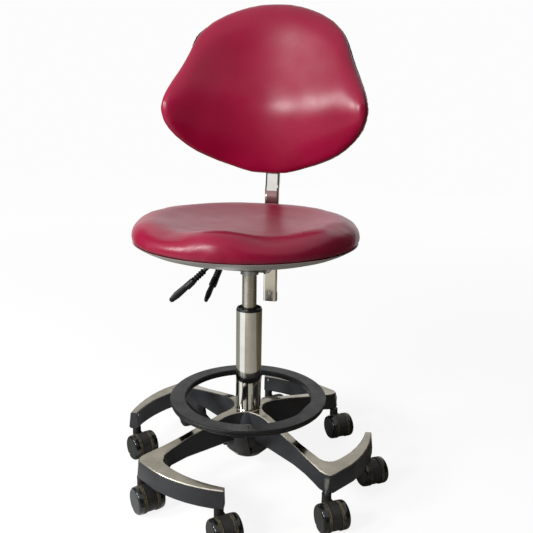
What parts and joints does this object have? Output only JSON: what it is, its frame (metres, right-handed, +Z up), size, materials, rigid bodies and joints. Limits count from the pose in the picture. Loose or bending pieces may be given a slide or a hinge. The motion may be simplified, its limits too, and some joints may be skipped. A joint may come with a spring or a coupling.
{
  "type": "clinic stool",
  "caption": "Clinic stool with a contoured round seat, tilting backrest, gas lift with foot release ring and a cast base of hooked arms on casters.",
  "frame": {"origin": "on the floor under the lift column's axis", "axes": "+Z up, -Y towards the front of the seat, +X to the left hand of a sitter who faces -Y"},
  "size_m": [0.5351, 0.5415, 0.9085],
  "materials": {
    "cast_metal": "polished tops, dark painted sides",
    "chromed_steel": "mirror",
    "plain_steel": "zinc plated",
    "satin_steel": "satin",
    "black_plastic": "fine grain",
    "black_steel": "black powder coat",
    "white_plastic": "semi gloss",
    "plywood": "raw",
    "burgundy_leather": "smooth coated",
    "caster_plastic": "gloss"
  },
  "bodies": {
    "floor_stand": {"base_casting": "cast_metal", "column_tube": "chromed_steel", "guide_bushing": "black_plastic", "thrust_bearing": "plain_steel", "caster_stems": "plain_steel", "release_housing": "black_plastic", "housing_screws": "plain_steel"},
    "rod": {"piston_rod": "plain_steel", "rod_clip": "plain_steel"},
    "lift": {"gas_cylinder": "satin_steel", "rod_guide": "black_plastic", "taper_socket": "black_steel", "mechanism_trough": "black_steel", "pivot_pins": "plain_steel"},
    "seat": {"seat_plate": "black_steel", "seat_bolts": "plain_steel", "seat_pan": "white_plastic", "seat_board": "plywood", "seat_cushion": "burgundy_leather"},
    "back_carrier": {"back_bracket": "black_steel", "clamp_liner": "black_plastic"},
    "backrest": {"back_bar": "chromed_steel", "bar_stop_screw": "plain_steel", "back_plate": "plain_steel", "back_screws": "plain_steel", "back_shell": "black_plastic", "back_cushion": "burgundy_leather"},
    "knob": {"clamp_knob": "black_plastic"},
    "side_lever": {"side_lever_rod": "plain_steel", "side_lever_grip": "black_plastic"},
    "front_lever": {"front_lever_rod": "plain_steel", "front_lever_grip": "black_plastic"},
    "foot_ring": {"foot_ring": "black_plastic", "ring_spider": "black_steel", "ring_screws": "plain_steel"},
    "pin": {"release_pin": "plain_steel"},
    "caster_1": {"caster_1_hood": "caster_plastic"},
    "caster_1_left": {"caster_1_wheel_left": "caster_plastic"},
    "caster_1_right": {"caster_1_wheel_right": "caster_plastic"},
    "caster_2": {"caster_2_hood": "caster_plastic"},
    "caster_2_left": {"caster_2_wheel_left": "caster_plastic"},
    "caster_2_right": {"caster_2_wheel_right": "caster_plastic"},
    "caster_3": {"caster_3_hood": "caster_plastic"},
    "caster_3_left": {"caster_3_wheel_left": "caster_plastic"},
    "caster_3_right": {"caster_3_wheel_right": "caster_plastic"},
    "caster_4": {"caster_4_hood": "caster_plastic"},
    "caster_4_left": {"caster_4_wheel_left": "caster_plastic"},
    "caster_4_right": {"caster_4_wheel_right": "caster_plastic"},
    "caster_5": {"caster_5_hood": "caster_plastic"},
    "caster_5_left": {"caster_5_wheel_left": "caster_plastic"},
    "caster_5_right": {"caster_5_wheel_right": "caster_plastic"},
    "caster_6": {"caster_6_hood": "caster_plastic"},
    "caster_6_left": {"caster_6_wheel_left": "caster_plastic"},
    "caster_6_right": {"caster_6_wheel_right": "caster_plastic"},
    "caster_7": {"caster_7_hood": "caster_plastic"},
    "caster_7_left": {"caster_7_wheel_left": "caster_plastic"},
    "caster_7_right": {"caster_7_wheel_right": "caster_plastic"},
    "caster_8": {"caster_8_hood": "caster_plastic"},
    "caster_8_left": {"caster_8_wheel_left": "caster_plastic"},
    "caster_8_right": {"caster_8_wheel_right": "caster_plastic"}
  },
  "joints": [
    {"name": "seat_swivel", "type": "hinge", "parent": "floor_stand", "child": "rod", "pos_m": [0, 0, 0.08], "axis": [0, 0, 1], "continuous": true},
    {"name": "seat_lift", "type": "slide", "parent": "rod", "child": "lift", "axis": [0, 0, 1], "range_m": [-0.055, 0.08]},
    {"name": "back_tilt", "type": "hinge", "parent": "lift", "child": "back_carrier", "pos_m": [0, 0.072, 0.419], "axis": [-1, 0, 0], "range_deg": [-2, 15]},
    {"name": "back_height", "type": "slide", "parent": "back_carrier", "child": "backrest", "axis": [0, 0, 1], "range_m": [-0.04, 0.07]},
    {"name": "seat_tilt", "type": "hinge", "parent": "lift", "child": "seat", "pos_m": [0, -0.062, 0.432], "axis": [-1, 0, 0], "range_deg": [-3, 6]},
    {"name": "foot_ring_rock", "type": "hinge", "parent": "floor_stand", "child": "foot_ring", "pos_m": [0, -0.04, 0.044], "axis": [1, 0, 0], "range_deg": [0, 3]},
    {"name": "pin_rise", "type": "slide", "parent": "floor_stand", "child": "pin", "axis": [0, 0, 1], "range_m": [0, 0.0022]},
    {"name": "side_lever_lift", "type": "hinge", "parent": "lift", "child": "side_lever", "pos_m": [-0.022, -0.02, 0.423], "axis": [0, 1, 0], "range_deg": [0, 10], "stiffness_Nm_per_rad": 0.6},
    {"name": "front_lever_lift", "type": "hinge", "parent": "lift", "child": "front_lever", "pos_m": [-0.04, 0.02, 0.428], "axis": [-1, 0, 0], "range_deg": [0, 8], "stiffness_Nm_per_rad": 0.6},
    {"name": "knob_turn", "type": "hinge", "parent": "back_carrier", "child": "knob", "pos_m": [0, 0.212, 0.4145], "axis": [0, 1, 0], "range_deg": [0, 360]},
    {"name": "caster_1_swivel", "type": "hinge", "parent": "floor_stand", "child": "caster_1", "pos_m": [0.1536, 0.18049, 0.05], "axis": [0, 0, 1], "continuous": true},
    {"name": "caster_1_roll_left", "type": "hinge", "parent": "caster_1", "child": "caster_1_left", "pos_m": [0.16793, 0.15963, 0.0255], "axis": [-0.8241, -0.5664, 0], "continuous": true},
    {"name": "caster_1_roll_right", "type": "hinge", "parent": "caster_1", "child": "caster_1_right", "pos_m": [0.16793, 0.15963, 0.0255], "axis": [-0.8241, -0.5664, 0], "continuous": true},
    {"name": "caster_2_swivel", "type": "hinge", "parent": "floor_stand", "child": "caster_2", "pos_m": [-0.00869, 0.23684, 0.05], "axis": [0, 0, 1], "continuous": true},
    {"name": "caster_2_roll_left", "type": "hinge", "parent": "caster_2", "child": "caster_2_left", "pos_m": [0.00824, 0.21804, 0.0255], "axis": [-0.7431, -0.6691, 0], "continuous": true},
    {"name": "caster_2_roll_right", "type": "hinge", "parent": "caster_2", "child": "caster_2_right", "pos_m": [0.00824, 0.21804, 0.0255], "axis": [-0.7431, -0.6691, 0], "continuous": true},
    {"name": "caster_3_swivel", "type": "hinge", "parent": "floor_stand", "child": "caster_3", "pos_m": [-0.18049, 0.1536, 0.05], "axis": [0, 0, 1], "continuous": true},
    {"name": "caster_3_roll_left", "type": "hinge", "parent": "caster_3", "child": "caster_3_left", "pos_m": [-0.16356, 0.1348, 0.0255], "axis": [-0.7431, -0.6691, 0], "continuous": true},
    {"name": "caster_3_roll_right", "type": "hinge", "parent": "caster_3", "child": "caster_3_right", "pos_m": [-0.16356, 0.1348, 0.0255], "axis": [-0.7431, -0.6691, 0], "continuous": true},
    {"name": "caster_4_swivel", "type": "hinge", "parent": "floor_stand", "child": "caster_4", "pos_m": [-0.23684, -0.00869, 0.05], "axis": [0, 0, 1], "continuous": true},
    {"name": "caster_4_roll_left", "type": "hinge", "parent": "caster_4", "child": "caster_4_left", "pos_m": [-0.2178, -0.02535, 0.0255], "axis": [-0.6587, -0.7524, 0], "continuous": true},
    {"name": "caster_4_roll_right", "type": "hinge", "parent": "caster_4", "child": "caster_4_right", "pos_m": [-0.2178, -0.02535, 0.0255], "axis": [-0.6587, -0.7524, 0], "continuous": true},
    {"name": "caster_5_swivel", "type": "hinge", "parent": "floor_stand", "child": "caster_5", "pos_m": [-0.1536, -0.18049, 0.05], "axis": [0, 0, 1], "continuous": true},
    {"name": "caster_5_roll_left", "type": "hinge", "parent": "caster_5", "child": "caster_5_left", "pos_m": [-0.13547, -0.19812, 0.0255], "axis": [-0.6972, -0.7169, 0], "continuous": true},
    {"name": "caster_5_roll_right", "type": "hinge", "parent": "caster_5", "child": "caster_5_right", "pos_m": [-0.13547, -0.19812, 0.0255], "axis": [-0.6972, -0.7169, 0], "continuous": true},
    {"name": "caster_6_swivel", "type": "hinge", "parent": "floor_stand", "child": "caster_6", "pos_m": [0.00869, -0.23684, 0.05], "axis": [0, 0, 1], "continuous": true},
    {"name": "caster_6_roll_left", "type": "hinge", "parent": "caster_6", "child": "caster_6_left", "pos_m": [0.02478, -0.25636, 0.0255], "axis": [-0.7716, -0.6361, 0], "continuous": true},
    {"name": "caster_6_roll_right", "type": "hinge", "parent": "caster_6", "child": "caster_6_right", "pos_m": [0.02478, -0.25636, 0.0255], "axis": [-0.7716, -0.6361, 0], "continuous": true},
    {"name": "caster_7_swivel", "type": "hinge", "parent": "floor_stand", "child": "caster_7", "pos_m": [0.18049, -0.1536, 0.05], "axis": [0, 0, 1], "continuous": true},
    {"name": "caster_7_roll_left", "type": "hinge", "parent": "caster_7", "child": "caster_7_left", "pos_m": [0.19393, -0.17504, 0.0255], "axis": [-0.8471, -0.5314, 0], "continuous": true},
    {"name": "caster_7_roll_right", "type": "hinge", "parent": "caster_7", "child": "caster_7_right", "pos_m": [0.19393, -0.17504, 0.0255], "axis": [-0.8471, -0.5314, 0], "continuous": true},
    {"name": "caster_8_swivel", "type": "hinge", "parent": "floor_stand", "child": "caster_8", "pos_m": [0.23684, 0.00869, 0.05], "axis": [0, 0, 1], "continuous": true},
    {"name": "caster_8_roll_left", "type": "hinge", "parent": "caster_8", "child": "caster_8_left", "pos_m": [0.25069, -0.01249, 0.0255], "axis": [-0.8368, -0.5476, 0], "continuous": true},
    {"name": "caster_8_roll_right", "type": "hinge", "parent": "caster_8", "child": "caster_8_right", "pos_m": [0.25069, -0.01249, 0.0255], "axis": [-0.8368, -0.5476, 0], "continuous": true}
  ],
  "couplings": [
    {"joint": "pin_rise", "follows": "foot_ring_rock", "m_per_rad": 0.04}
  ]
}
